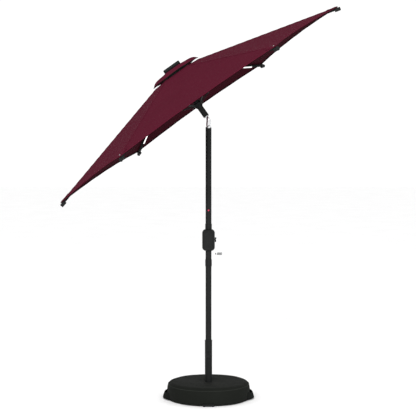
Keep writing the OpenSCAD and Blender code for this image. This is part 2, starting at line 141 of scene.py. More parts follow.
def node(tree, kind, **inputs):
    """A new node with some of its inputs set."""
    made = tree.nodes.new(kind)
    for key, value in inputs.items():
        made.inputs[key.replace("_", " ")].default_value = value
    return made


def scaled(tree, vector, scale):
    """Coordinates times a scale."""
    mapping = node(tree, "ShaderNodeMapping", Scale=scale)
    tree.links.new(vector, mapping.inputs["Vector"])
    return mapping.outputs["Vector"]


def on_object(tree, scale=(1, 1, 1)):
    """The object's own coordinates, scaled."""
    return scaled(tree, tree.nodes.new("ShaderNodeTexCoord").outputs["Object"], scale)


def on_cloth(tree, scale=(1, 1, 1)):
    """Each point's place on the flat cloth, in metres, scaled."""
    source = tree.nodes.new("ShaderNodeUVMap")
    source.uv_map = UV_LAYER
    return scaled(tree, source.outputs["UV"], scale)


def noise_node(tree, vector, scale, detail=4.0, rough=0.6):
    """A noise texture's strength."""
    made = node(tree, "ShaderNodeTexNoise", Scale=scale, Detail=detail, Roughness=rough)
    tree.links.new(vector, made.inputs["Vector"])
    return made.outputs["Fac"]


def ramp(tree, value, low, high, at=(0.3, 0.7)):
    """A colour that runs from low to high as value goes between the two places."""
    made = tree.nodes.new("ShaderNodeValToRGB")
    made.color_ramp.elements[0].position = at[0]
    made.color_ramp.elements[1].position = at[1]
    made.color_ramp.elements[0].color = (*low, 1)
    made.color_ramp.elements[1].color = (*high, 1)
    tree.links.new(value, made.inputs["Fac"])
    return made.outputs["Color"]


def spread(tree, value, low, high):
    """value, mapped from 0..1 to low..high."""
    made = tree.nodes.new("ShaderNodeMapRange")
    made.inputs["To Min"].default_value = low
    made.inputs["To Max"].default_value = high
    tree.links.new(value, made.inputs["Value"])
    return made.outputs["Result"]


def bump(tree, shader, heights):
    """Chains (height, strength, distance) bumps into the shader's normal."""
    normal = None
    for height, strength, distance in heights:
        made = node(tree, "ShaderNodeBump", Strength=strength, Distance=distance)
        tree.links.new(height, made.inputs["Height"])
        if normal:
            tree.links.new(normal, made.inputs["Normal"])
        normal = made.outputs["Normal"]
    tree.links.new(normal, shader.inputs["Normal"])


def wave(tree, vector, pitch, direction):
    """Bands across one direction, pitch metres apart."""
    made = node(tree, "ShaderNodeTexWave", Scale=2 * math.pi / 20 / pitch, Distortion=0, Detail=0)
    made.bands_direction = direction
    tree.links.new(vector, made.inputs["Vector"])
    return made.outputs["Fac"]


def multiply(tree, a, b):
    """The product of two values."""
    made = tree.nodes.new("ShaderNodeMath")
    made.operation = "MULTIPLY"
    tree.links.new(a, made.inputs[0])
    tree.links.new(b, made.inputs[1])
    return made.outputs["Value"]


def mix_colour(tree, factor, a, b):
    """A mix of two colours; each argument is a number, a colour or another node's output."""
    made = tree.nodes.new("ShaderNodeMix")
    made.data_type = "RGBA"
    for socket, value in (("Factor", factor), ("A", a), ("B", b)):
        target = [s for s in made.inputs if s.name == socket and s.enabled][-1]
        if hasattr(value, "is_output"):
            tree.links.new(value, target)
        else:
            target.default_value = value
    return [s for s in made.outputs if s.enabled][0]


def woven(name, low, high, pitch, rough, sheen, sheen_tint=(1, 1, 1), bumpy=0.25):
    """Plain-weave cloth: crossed threads, slubs, and faint patches where it has faded."""
    made, shader, tree = material(name)
    threads = on_cloth(tree)
    patches = noise_node(tree, on_object(tree), 3.0, 3)
    slubs = noise_node(tree, on_cloth(tree, (1, 9, 1)), 160, 2)
    cross = multiply(tree, wave(tree, threads, pitch, "X"), wave(tree, threads, pitch, "Y"))
    tone = mix_colour(tree, 0.35, ramp(tree, patches, low, high), ramp(tree, slubs, low, high))
    tree.links.new(tone, shader.inputs["Base Color"])
    tree.links.new(spread(tree, patches, rough - 0.06, rough + 0.06), shader.inputs["Roughness"])
    shader.inputs["Sheen Weight"].default_value = sheen
    shader.inputs["Sheen Roughness"].default_value = 0.5
    shader.inputs["Sheen Tint"].default_value = (*sheen_tint, 1)
    shader.inputs["Specular IOR Level"].default_value = 0.01
    bump(tree, shader, [(cross, bumpy, 0.0004), (slubs, 0.12, 0.0004)])
    return made


def powder_coat(name, low, high, rough):
    """Satin powder coat on steel: orange peel, and dull rubbed patches."""
    made, shader, tree = material(name)
    place = on_object(tree)
    peel = noise_node(tree, place, 900, 2)
    rubbed = noise_node(tree, place, 14, 5, 0.7)
    tree.links.new(ramp(tree, rubbed, low, high), shader.inputs["Base Color"])
    tree.links.new(spread(tree, rubbed, rough - 0.1, rough + 0.14), shader.inputs["Roughness"])
    bump(tree, shader, [(peel, 0.12, 0.0003)])
    shader.inputs["Specular IOR Level"].default_value = 0.06
    return made


def moulded(name, low, high, rough=0.5, grain=1400, depth=0.2):
    """Textured plastic moulding."""
    made, shader, tree = material(name)
    place = on_object(tree)
    fine = noise_node(tree, place, grain, 3)
    broad = noise_node(tree, place, 22, 4)
    tree.links.new(ramp(tree, broad, low, high), shader.inputs["Base Color"])
    tree.links.new(spread(tree, fine, rough - 0.08, rough + 0.1), shader.inputs["Roughness"])
    bump(tree, shader, [(fine, depth, 0.0003)])
    shader.inputs["Specular IOR Level"].default_value = 0.08
    return made


def bare_metal(name, low, high, rough, stretch=(1, 1, 1)):
    """Cast, plated or brushed metal; stretch draws its marks out."""
    made, shader, tree = material(name)
    marks = noise_node(tree, on_object(tree, stretch), 300, 4)
    stains = noise_node(tree, on_object(tree), 40, 4)
    tree.links.new(ramp(tree, stains, low, high), shader.inputs["Base Color"])
    tree.links.new(spread(tree, marks, rough - 0.1, rough + 0.12), shader.inputs["Roughness"])
    shader.inputs["Metallic"].default_value = 1.0
    bump(tree, shader, [(marks, 0.15, 0.0003)])
    return made


CANOPY_DARK, CANOPY_LIGHT = (0.057, 0.0060, 0.0142), (0.069, 0.0075, 0.0176)
WEAVE = 0.0012  # thread pitch of the canopy cloth
COARSE_WEAVE = 0.0016
CANOPY_SHEEN = (1, 0.15, 0.25)

CLOTH = woven("canopy cloth", CANOPY_DARK, CANOPY_LIGHT, WEAVE, 0.9, 0.006, CANOPY_SHEEN)
# The cloth's underside is coloured darker than its top: painted shade on the side that faces down.
CLOTH_UNDERSIDE_SHADE = woven("canopy underside painted shade", (0.021, 0.0023, 0.0051), (0.0265, 0.003, 0.0064), WEAVE, 0.85, 0.0)
# Darker still under the hem: painted shade beneath the rim's fold.
HEM_UNDERSIDE_SHADE = woven("hem underside painted shade", (0.005, 0.0009, 0.0016), (0.008, 0.0013, 0.0024), WEAVE, 0.85, 0.0)
SEAM_CLOTH = woven("seam tape", CANOPY_DARK, CANOPY_LIGHT, WEAVE, 0.9, 0.006, CANOPY_SHEEN)
THREAD = woven("thread", (0.058, 0.0066, 0.0145), (0.075, 0.0085, 0.0185), 0.0006, 0.9, 0.0)
CORD_BRAID = woven("cord braid", (0.03, 0.0047, 0.0105), (0.058, 0.01, 0.02), COARSE_WEAVE, 0.8, 0.0,
                   bumpy=0.8)
BAG_CLOTH = woven("bag cloth", (0.0072, 0.008, 0.0068), (0.0105, 0.0116, 0.01), COARSE_WEAVE, 0.7, 0.01,
                  bumpy=0.5)
# Lighter than the bag cloth: a painted highlight along the seams' piping.
PIPING_HIGHLIGHT = woven("bag piping painted highlight", (0.015, 0.0165, 0.0145), (0.022, 0.024, 0.021), COARSE_WEAVE, 0.7, 0.01,
               bumpy=0.5)
WEBBING = woven("webbing", (0.005, 0.0055, 0.005), (0.01, 0.011, 0.01), 0.0024, 0.8, 0.01, bumpy=0.9)
PAINT = powder_coat("black paint", (0.0085, 0.009, 0.009), (0.0125, 0.0132, 0.013), 0.42)
PLASTIC = moulded("black plastic", (0.0065, 0.007, 0.007), (0.0105, 0.011, 0.011))
GREY_PLASTIC = moulded("grey plastic", (0.15, 0.155, 0.155), (0.22, 0.225, 0.225), 0.45)
RUBBER = moulded("rubber", (0.012, 0.012, 0.012), (0.022, 0.022, 0.022), 0.8, 700, 0.4)
CAST = bare_metal("cast silver", (0.36, 0.365, 0.37), (0.5, 0.505, 0.51), 0.42)
STEEL = bare_metal("plated steel", (0.45, 0.455, 0.46), (0.6, 0.605, 0.61), 0.3, (1, 1, 8))
RED = moulded("red switch", (0.42, 0.03, 0.07), (0.55, 0.05, 0.11), 0.35, 900, 0.1)
SAND = moulded("sand", (0.4, 0.3, 0.18), (0.6, 0.5, 0.33), 0.9, 900, 0.8)


def led_material():
    """Milky plastic that glows a little."""
    made, shader, tree = material("led strip")
    milk = noise_node(tree, on_object(tree), 120, 2)
    tree.links.new(ramp(tree, milk, (0.8, 0.8, 0.76), (0.92, 0.92, 0.88)), shader.inputs["Base Color"])
    shader.inputs["Roughness"].default_value = 0.3
    shader.inputs["Emission Color"].default_value = (1, 1, 0.97, 1)
    shader.inputs["Emission Strength"].default_value = 0.8
    return made


def cell_material():
    """Dark solar cells with thin silver fingers and busbars under clear resin."""
    made, shader, tree = material("solar cell")
    place = on_cloth(tree)
    black, white = (0, 0, 0), (1, 1, 1)
    fingers = ramp(tree, wave(tree, place, 0.0022, "X"), black, white, (0.94, 0.98))
    bars = ramp(tree, wave(tree, place, 0.019, "Y"), black, white, (0.985, 0.992))
    crystal = noise_node(tree, place, 90, 3)
    blue = ramp(tree, crystal, (0.008, 0.011, 0.03), (0.014, 0.02, 0.052))
    lined = mix_colour(tree, fingers, blue, (0.11, 0.12, 0.14, 1))
    tree.links.new(mix_colour(tree, bars, lined, (0.4, 0.41, 0.42, 1)), shader.inputs["Base Color"])
    shader.inputs["Roughness"].default_value = 0.35
    shader.inputs["Coat Weight"].default_value = 1.0
    shader.inputs["Coat Roughness"].default_value = 0.06
    return made


LED = led_material()
CELL = cell_material()


# ---------- mesh helpers ----------


def piece(name, points, faces, look, body, uv=None, smooth=True):
    """A mesh object that rides on a body, if one is named.

    uv gives each point's place on the flat cloth, in metres. Without it, a place is made up from the point.
    """
    mesh = bpy.data.meshes.new(name)
    mesh.from_pydata([tuple(p) for p in points], [], faces)
    mesh.validate()
    mesh.materials.append(look)
    layer = mesh.uv_layers.new(name=UV_LAYER)
    for loop in mesh.loops:
        if uv:
            layer.data[loop.index].uv = uv[loop.vertex_index]
        else:
            p = points[loop.vertex_index]
            layer.data[loop.index].uv = (p[0] + 0.5 * p[1], p[2] + 0.5 * p[1])
    mesh.polygons.foreach_set("use_smooth", [smooth] * len(mesh.polygons))
    if smooth:
        mesh.set_sharp_from_angle(angle=CREASE)
    made = bpy.data.objects.new(name, mesh)
    bpy.context.scene.collection.objects.link(made)
    if body:
        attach(made, body)
    return made


def grid_faces(rows, cols, wrap=False):
    """Quads of a grid of rows by cols points; wrap joins the last column to the first."""
    across = cols if wrap else cols - 1
    return [
        (r * cols + c, r * cols + (c + 1) % cols, (r + 1) * cols + (c + 1) % cols, (r + 1) * cols + c)
        for r in range(rows - 1)
        for c in range(across)
    ]


def thicken(made, thickness, offset):
    """Gives a sheet its thickness: inwards at offset -1, both ways at 0, outwards at 1."""
    solid = made.modifiers.new("thickness", "SOLIDIFY")
    solid.thickness = thickness
    solid.offset = offset
    apply_modifiers(made)
    return made


def shade_underside(made, look):
    """Gives the faces on the canopy's underside another look: a darker colour, painted shade on the side that
    faces down.
    """
    made.data.materials.append(look)
    for face in made.data.polygons:
        if face.normal.dot(CANOPY_UP) < 0:
            face.material_index = 1


def apply_modifiers(made):
    """Makes the modifiers' result the object's own mesh."""
    graph = bpy.context.evaluated_depsgraph_get()
    mesh = bpy.data.meshes.new_from_object(made.evaluated_get(graph))
    made.modifiers.clear()
    mesh.set_sharp_from_angle(angle=CREASE)
    made.data = mesh


def polar(radius, angle, height):
    return Vector((radius * math.cos(angle), radius * math.sin(angle), height))


def lathe(profile, steps, place=Matrix(), wobble=None):
    """Points and faces of a profile of (radius, height) turned round Z, then placed."""
    points = []
    for radius, height in profile:
        for k in range(steps):
            angle = 2 * math.pi * k / steps
            r, z = wobble(radius, height, angle) if wobble else (radius, height)
            points.append(place @ polar(r, angle, z))
    return points, grid_faces(len(profile), steps, wrap=True)


def sweep(path, radius, sides=12):
    """Points and faces of a round tube along a path, closed at both ends."""
    points, faces = [], []
    side = Vector((0, 1, 0))
    for k, here in enumerate(path):
        ahead = path[min(k + 1, len(path) - 1)] - path[max(k - 1, 0)]
        ahead.normalize()
        side = (side - ahead * side.dot(ahead)).normalized()
        up = ahead.cross(side)
        for s in range(sides):
            angle = 2 * math.pi * s / sides
            points.append(here + radius * (math.cos(angle) * side + math.sin(angle) * up))
    faces += grid_faces(len(path), sides, wrap=True)
    faces.append(tuple(range(sides)))
    faces.append(tuple(range(len(points) - sides, len(points)))[::-1])
    return points, faces


def smooth_path(knots, steps=8):
    """Catmull-Rom points through the knots."""
    ends = [2 * knots[0] - knots[1]] + knots + [2 * knots[-1] - knots[-2]]
    path = []
    for a, b, c, d in zip(ends, ends[1:], ends[2:], ends[3:]):
        for k in range(steps):
            t = k / steps
            path.append(0.5 * (2 * b + (c - a) * t + (2 * a - 5 * b + 4 * c - d) * t * t
                               + (3 * b - 3 * c + d - a) * t ** 3))
    return path + [knots[-1]]


def rounded_outline(half_w, half_h, corner, steps=8):
    """(x, z) points round a rectangle with round corners."""
    points = []
    for quarter, (sx, sz) in enumerate(((1, 1), (-1, 1), (-1, -1), (1, -1))):
        for k in range(steps + 1):
            angle = math.pi / 2 * (quarter + k / steps)
            points.append((sx * (half_w - corner) + corner * math.cos(angle),
                           sz * (half_h - corner) + corner * math.sin(angle)))
    return points


# ---------- canopy ----------


def gore_height(rho, t):
    """Height of the smooth cloth, which sags a little between the ribs."""
    flat = APEX_Z - SLOPE * rho / math.cos(HALF)
    return flat - GORE_SAG * (rho / REACH) * (1 - t * t)


def cloth_point(rho, t, side, turn, lift=0.0):
    """A point of the upright canopy: rho out along the gore's middle, t 0 there and 1 on the rib.

    side is 1 or -1 for the half gore on either side of the rib, which is turned by turn.
    """
    q = t * rho * math.tan(HALF)
    x = rho * math.cos(HALF) + q * math.sin(HALF)
    y = side * (rho * math.sin(HALF) - q * math.cos(HALF))
    spot = Matrix.Rotation(turn, 3, "Z") @ Vector((x, y, gore_height(rho, t) + lift))
    return spot + Vector((0, 0, cloth_ripple(spot, rho, t)))


def cloth_ripple(spot, rho, t):
    """Small life in the stretched cloth: broad waves, pulls fanning from the tips, puckers along the ribs."""
    middle = 1 - t * t
    broad = noise.noise(spot * 2.2) * 0.003 * middle
    near_rim = max(0.0, (rho - 0.7 * REACH) / (0.3 * REACH))
    fan = math.cos(19 * t) * 0.0006 * near_rim * middle
    pucker = math.sin(rho * 150 + 5 * noise.noise(spot * 9)) * 0.0005 * max(0.0, 1 - (1 - t) * 14)
    return broad + fan + pucker


def rim_rho(t):
    """Where the cloth ends: its rim curves in between the ribs."""
    return REACH - SCALLOP * (1 - t * t)


def rho_at(share, t):
    """The place at a share of the way from the vent opening to the rim."""
    return OPEN_RHO + (rim_rho(t) - OPEN_RHO) * share


def beside_crest(rho, lateral):
    """t and side of a point that lies a lateral distance from a rib's crest."""
    return 1 - abs(lateral) / (rho * math.tan(HALF)), 1 if lateral > 0 else -1


def across_panel(cols, power=1.0):
    """t and side of the points across one rib's panel, from the middle of one gore to that of the next."""
    return [((1 - abs(j) / cols) ** power, -1 if j < 0 else 1) for j in range(-cols, cols + 1)]


def cloth_place(rho, t, side, lift=0.0):
    """The flat cloth's own coordinates of a point; lift keeps the folds of a hem apart."""
    return rho + lift, side * (1 - t) * rho * math.tan(HALF)


def stitch_row(points, normals, length=0.0035, gap=0.0025, width=0.0009):
    """Short raised stitches along a line of points: a diamond each, with a crest in its middle."""
    made, faces = [], []
    travelled, start, target = 0.0, None, gap
    for a, b, n in zip(points, points[1:], normals):
        step = (b - a).length
        while travelled + step >= target:
            spot = a.lerp(b, (target - travelled) / step)
            if start is None:
                start, target = spot, target + length
            else:
                along = (spot - start).normalized()
                across = along.cross(n).normalized() * width / 2
                base = len(made)
                middle = start.lerp(spot, 0.5)
                made += [start, middle + across, spot, middle - across, (start + spot) / 2 + n * width * 0.6]
                faces += [(base, base + 1, base + 4), (base + 1, base + 2, base + 4),
                          (base + 2, base + 3, base + 4), (base + 3, base, base + 4),
                          (base + 3, base + 2, base + 1, base)]
                start, target = None, target + gap
        travelled += step
    return made, faces


def canopy_panel(i):
    """One rib's share of the canopy with its seam tape, hem, corner patch, stitching and rivet."""
    turn = 2 * math.pi * (i - 1) / RIBS
    body = f"rib_arm_{i}"
    points, places = [], []
    for row in range(PANEL_ROWS + 1):
        for t, side in across_panel(PANEL_COLS, 0.8):
            rho = rho_at(row / PANEL_ROWS, t)
            points.append(TIPPED @ cloth_point(rho, t, side, turn))
            places.append(cloth_place(rho, t, side))
    faces = grid_faces(PANEL_ROWS + 1, 2 * PANEL_COLS + 1)
    cloth = piece(f"canopy_cloth_{i}", points, faces, CLOTH, body, places)
    thicken(cloth, CLOTH_T, 1.0)
    shade_underside(cloth, CLOTH_UNDERSIDE_SHADE)
    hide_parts(f"canopy_panel_{i}", "canopy_folds")
    trims = [make(i, turn, body) for make in (seam_tape, hem, tip_pocket, stitching, tip_rivet)]


def seam_tape(i, turn, body):
    """The felled seam along a rib: a narrow raised tape that follows the crest."""
    laterals = (-TAPE_HALF, -TAPE_HALF * 0.9, -0.002, 0, 0.002, TAPE_HALF * 0.9, TAPE_HALF)
    points, places = [], []
    for k in range(SEAM_STEPS + 1):
        rho = (SEAM_FROM + (SEAM_TO - SEAM_FROM) * k / SEAM_STEPS) * math.cos(HALF)
        for lateral in laterals:
            t, side = beside_crest(rho, lateral)
            lift = 0.0002 if abs(lateral) >= TAPE_HALF else TAPE_LIFT
            points.append(TIPPED @ cloth_point(rho, t, side, turn, lift))
            places.append((rho, lateral))
    faces = grid_faces(SEAM_STEPS + 1, len(laterals))
    tape = piece(f"rib_seam_{i}", points, faces, SEAM_CLOTH, body, places)
    return thicken(tape, 0.001, 1.0)


def hem(i, turn, body):
    """The folded hem along the rim: a band that wraps the cloth's edge."""
    cols = 3 * PANEL_COLS
    start = 1 - HEM_WIDTH / (REACH - OPEN_RHO)
    under = -0.0024
    # Shares of the way to the rim, and lifts, from the inner edge over the rim and back underneath
    wrap = ((start, 0.0001), (start, HEM_LIFT), (0.9995, HEM_LIFT), (1.001, -0.0006), (0.9995, under),
            (start, under))
    points, places = [], []
    for share, lift in wrap:
        for t, side in across_panel(cols):
            rho = rho_at(share, t)
            points.append(TIPPED @ cloth_point(rho, t, side, turn, lift))
            places.append(cloth_place(rho, t, side, lift))
    faces = grid_faces(len(wrap), 2 * cols + 1)
    band = piece(f"rim_hem_{i}", points, faces, SEAM_CLOTH, body, places)
    thicken(band, 0.0005, -1.0)
    shade_underside(band, HEM_UNDERSIDE_SHADE)
    return band


def crest_frame(turn, r, lift):
    """Place on a rib's crest, with X out along the crest and Z square to it."""
    spot = cloth_point(r * math.cos(HALF), 1.0, 1, turn, lift)
    turned = Matrix.Rotation(turn, 4, "Z") @ Matrix.Rotation(RIB_FALL, 4, "Y")
    return TIPPED @ Matrix.Translation(spot) @ turned


def tip_pocket(i, turn, body):
    """The doubled corner patch that holds the rib's tip, a rounded wedge of cloth on the crest."""
    points, places = [], []
    steps, across = 16, 8
    for k in range(steps + 1):
        share = k / steps
        rho = (CLOTH_R - 0.001 - 0.062 * share) * math.cos(HALF)
        half = (0.024 + 0.014 * share) * math.sqrt(max(0.0, 1 - share ** 4)) + 0.0005
        for a in range(-across, across + 1):
            lateral = half * a / across
            t, side = beside_crest(rho, lateral)
            inside = min(rho, rim_rho(t) - 0.001)
            points.append(TIPPED @ cloth_point(inside, t, side, turn, POCKET_LIFT))
            places.append((rho, lateral))
    faces = grid_faces(steps + 1, 2 * across + 1)
    patch = piece(f"tip_pocket_{i}", points, faces, SEAM_CLOTH, body, places)
    return thicken(patch, 0.0009, 1.0)


def tip_rivet(i, turn, body):
    """The bright rivet through the corner patch into the rib's tip."""
    profile = [(0.0, 0.0016), (0.0016, 0.0015), (0.0028, 0.0010), (0.0034, 0.0003), (0.0036, 0.0),
               (0.0036, -0.002)]
    points, faces = lathe(profile, 20, crest_frame(turn, RIVET_R, RIVET_LIFT))
    return piece(f"tip_rivet_{i}", points, faces, CAST, body)


def stitching(i, turn, body):
    """Two rows of stitching on the seam and one along the hem."""
    made, faces = [], []
    for points, normals in (seam_line(turn, -0.0045), seam_line(turn, 0.0045), hem_line(turn)):
        more, more_faces = stitch_row(points, normals)
        faces += [tuple(len(made) + v for v in face) for face in more_faces]
        made += more
    return piece(f"canopy_stitching_{i}", made, faces, THREAD, body, smooth=False)


def seam_line(turn, lateral):
    """Points beside a rib's crest, just proud of the tape, and the cloth's normals there."""
    points, normals = [], []
    first, steps = SEAM_FROM + 0.002, 160
    for k in range(steps + 1):
        rho = (first + (SEAM_TO - first) * k / steps) * math.cos(HALF)
        t, side = beside_crest(rho, lateral)
        here = cloth_point(rho, t, side, turn, SEAM_STITCH_LIFT)
        inward = cloth_point(rho, t - 0.02, side, turn, SEAM_STITCH_LIFT) - here
        outward = cloth_point(rho + 0.01, t, side, turn, SEAM_STITCH_LIFT) - here
        up = inward.cross(outward).normalized()
        normals.append(TIPPED_TURN @ (up if up.z > 0 else -up))
        points.append(TIPPED @ here)
    return points, normals


def hem_line(turn):
    """Points along the hem's inner edge, just proud of it, and the canopy's upward direction there."""
    share = 1 - 0.8 * HEM_WIDTH / (REACH - OPEN_RHO)
    points = [TIPPED @ cloth_point(rho_at(share, t), t, side, turn, HEM_STITCH_LIFT)
              for t, side in across_panel(SEAM_STEPS)]
    return points, [CANOPY_UP] * len(points)


# ---------- vent cap ----------


def hexagon(angle, corner_r):
    """Radius of a hexagon with corners on the ribs, at an angle."""
    return corner_r * math.cos(HALF) / math.cos(angle % (2 * HALF) - HALF)


def crest(angle):
    """1 on a rib's line, 0 at the middle of a gore."""
    return abs(angle % (2 * HALF) - HALF) / HALF


def vent_point(share, angle):
    """A point of the cap over the vent: nearly level, then turned down all round, clear of the canopy."""
    middle = 1 - crest(angle) ** 2
    edge = hexagon(angle, VENT_R) - 0.0015 * middle
    out = 1 - (1 - share) ** 1.6
    r = VENT_HOLE + (edge - VENT_HOLE) * out
    drop = 0.003 * out ** 2 + (VENT_FALL - 0.003) * out ** 6.5 + 0.003 * out ** 8 * crest(angle) ** 4
    flutter = 0.002 * math.sin(4 * angle + 0.8) * max(0.0, out - 0.55) * middle * 2
    life = noise.noise(polar(r, angle, 0.3) * 20) * 0.0012 * out
    return TIPPED @ polar(r, angle, VENT_TOP - drop + flutter + life)


def vent_cap():
    """The small hexagonal cap over the vent opening, with a bound edge."""
    around, rows = 96, 14
    points, places = [], []
    for i in range(rows + 1):
        for k in range(around):
            angle = 2 * math.pi * k / around
            points.append(vent_point(i / rows, angle))
            places.append((i / rows * VENT_R, angle * 0.1))
    faces = grid_faces(rows + 1, around, wrap=True)
    cap = piece("vent_cap_cloth", points, faces, CLOTH, "upper_mast", places)
    thicken(cap, CLOTH_T, 1.0)
    # The cap's underside gets the darker colour too: painted shade under its edge.
    shade_underside(cap, CLOTH_UNDERSIDE_SHADE)
    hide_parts("vent_cap")
    path = [vent_point(1.0, 2 * math.pi * k / around) for k in range(around)] + [vent_point(1.0, 0)]
    points, faces = sweep(path, 0.0019, 8)
    edge = piece("vent_cap_binding", points, faces, WEBBING, "upper_mast")


# ---------- weight bag ----------


def bag_wobble(radius, height, angle):
    """Sand-filled slump: soft lumps, shallow dimples in the top and small puckers along the top seam."""
    spot = polar(radius, angle, height)
    lump = noise.noise(spot * 8) * 0.003 + noise.noise(spot * 24) * 0.001
    side = min(1.0, max(0.0, (radius - 0.2) / 0.04))
    seam = max(0.0, 1 - abs(height - BAG_SEAM_Z) / 0.012)
    pucker = math.sin(angle * 70 + 4 * noise.noise(spot * 7)) * 0.0006 * seam
    if height < 0.01:
        return radius + lump * 0.3, height
    return radius + lump * side * 0.5 - abs(pucker), height + lump * (1 - side) + pucker


def weight_bag():
    """The round bag: base panel, bulging side wall and a top panel that rolls over into its seam."""
    profile = [(0.06, BAG_FLOOR + 0.004), (0.15, BAG_FLOOR + 0.001), (0.230, BAG_FLOOR - 0.001),
               (0.2375, 0.005), (0.2415, 0.010), (0.2435, 0.018), (BAG_R, 0.030), (0.2448, 0.044),
               (BAG_R, 0.058), (0.2434, 0.070), (0.2418, 0.079), (0.2402, 0.0855), (0.2388, BAG_SEAM_Z),
               (0.2372, 0.0915), (0.2342, 0.0958), (0.2292, 0.0995), (0.2222, 0.1023),
               (BAG_SHOULDER_R, BAG_SHOULDER_Z)]
    steps_in = 22
    for k in range(1, steps_in + 1):
        share = k / steps_in
        r = BAG_SHOULDER_R + (TUBE_R + 0.001 - BAG_SHOULDER_R) * share
        crown = 0.0018 * math.sin(math.pi * min(1.0, share * 1.1))
        profile.append((r, BAG_SHOULDER_Z + crown - 0.004 * share ** 3))
    around = 144
    points, faces = lathe(profile, around, wobble=bag_wobble)
    places = [(math.atan2(p.y, p.x) * BAG_R, p.z + p.xy.length) for p in points]
    bag = piece("weight_bag_cloth", points, faces, BAG_CLOTH, "base", places)
    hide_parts("weight_bag")
    # The piping along both seams wears the lighter colour: a painted highlight.
    for name, height, radius in (("top", BAG_SEAM_Z, 0.2390), ("bottom", 0.0050, 0.2370)):
        path = []
        for k in range(around + 1):
            angle = 2 * math.pi * k / around
            r, z = bag_wobble(radius, height, angle)
            path.append(polar(r, angle, z))
        points, faces = sweep(path, 0.002, 8)
        piece(f"bag_piping_{name}", points, faces, PIPING_HIGHLIGHT, "base")


def bag_handles():
    """Two webbing loops that bow out from the bag and hang, their lower edge further out."""
    low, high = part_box("bag_handles")
    reach = high[0] - BAG_R
    points, places, faces = [], [], []
    steps, across = 40, 6
    half_span = 0.084
    for side in (-1, 1):
        start = len(points)
        for k in range(steps + 1):
            share = k / steps * 2 - 1
            bow = max(0.0, math.cos(share * math.pi / 2 * 1.06)) ** 1.1
            angle = share * half_span / BAG_R
            for a in range(across + 1):
                up = a / across
                r = BAG_R + reach * (0.98 - 0.42 * up) * bow + 0.0012 * math.sin(math.pi * up)
                height = low[2] + 0.001 + (high[2] - low[2]) * up * (1 - 0.1 * bow)
                points.append(Vector((side * r * math.cos(angle), r * math.sin(angle), height)))
                places.append((share * half_span, height))
        faces += [tuple(start + v for v in face) for face in grid_faces(steps + 1, across + 1)]
    strap = piece("bag_handle_webbing", points, faces, WEBBING, "base", places)
    thicken(strap, 0.0024, 0.0)
    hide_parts("bag_handles")


# ---------- crank housing, knob and light box ----------


def loft(rings):
    """Points and faces of rings of equal length, closed at both ends."""
    count = len(rings[0])
    points = [p for ring in rings for p in ring]
    faces = grid_faces(len(rings), count, wrap=True)
    faces.append(tuple(range(count))[::-1])
    faces.append(tuple(range(len(points) - count, len(points))))
    return points, faces


def housing_shell(name, facing):
    """One half of the crank housing, with round corners and softened edges; facing is -1 at the front."""
    low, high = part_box(name)
    half_w, half_h = (high[0] - low[0]) / 2, (high[2] - low[2]) / 2
    middle_z = (high[2] + low[2]) / 2
    depth = high[1] - low[1]
    corner, soft = 0.022, 0.008
    # Each ring: how far it stands out from the parting line, and how far it is inset
    rings = [(0.0006, 0.0008), (0.0015, 0.0)]
    rings += [(depth - soft + soft * math.sin(a), soft * (1 - math.cos(a)))
              for a in (math.pi / 2 * k / 7 for k in range(8))]
    rings += [(depth - 0.0004, soft + 0.002), (depth - 0.0012, soft + 0.003), (depth - 0.0012, soft + 0.012)]
    made = []
    for out, inset in rings:
        outline = rounded_outline(half_w - inset, half_h - inset, max(0.003, corner - inset))
        made.append([Vector((x, facing * out, middle_z + z)) for x, z in outline])
    points, faces = loft(made)
    shell = piece(name + "_shell", points, faces, PLASTIC, "mast")
    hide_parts(name)


def clamp_knob():
    """A six-lobed hand knob with a dished face, on its threaded shank."""
    low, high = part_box("clamp_knob")
    centre_z = (low[2] + high[2]) / 2
    front, back = low[1], high[1]
    head_depth = 0.014
    head = [(0.0, -0.0134), (0.003, -0.0135), (0.009, -0.0128), (0.0115, -head_depth), (0.0145, -0.0138),
            (0.0162, -0.0118), (0.0168, -0.0090), (0.0168, -0.0040), (0.0158, -0.0012), (0.0130, 0.0),
            (0.0080, 0.0008)]
    place = Matrix.Translation((0, front + head_depth, centre_z)) @ Matrix.Rotation(-math.pi / 2, 4, "X")

    def lobes(radius, height, angle):
        depth = 0.12 if radius > 0.012 else 0.0
        return radius * (1 - depth * (0.5 - 0.5 * math.cos(6 * angle)) ** 2), height

    points, faces = lathe(head, 72, place, lobes)
    knob = piece("clamp_knob_head", points, faces, PLASTIC, "knob")
    end = back - front - 0.0135
    shank = [(0.0, 0.0), (0.004, 0.0)] + [(0.004 - 0.0004 * (k % 2), 0.0006 * k) for k in range(1, 14)]
    points, faces = lathe(shank + [(0.0035, end), (0.0, end)], 24, place)
    piece("clamp_knob_shank", points, faces, STEEL, "knob")
    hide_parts("clamp_knob")


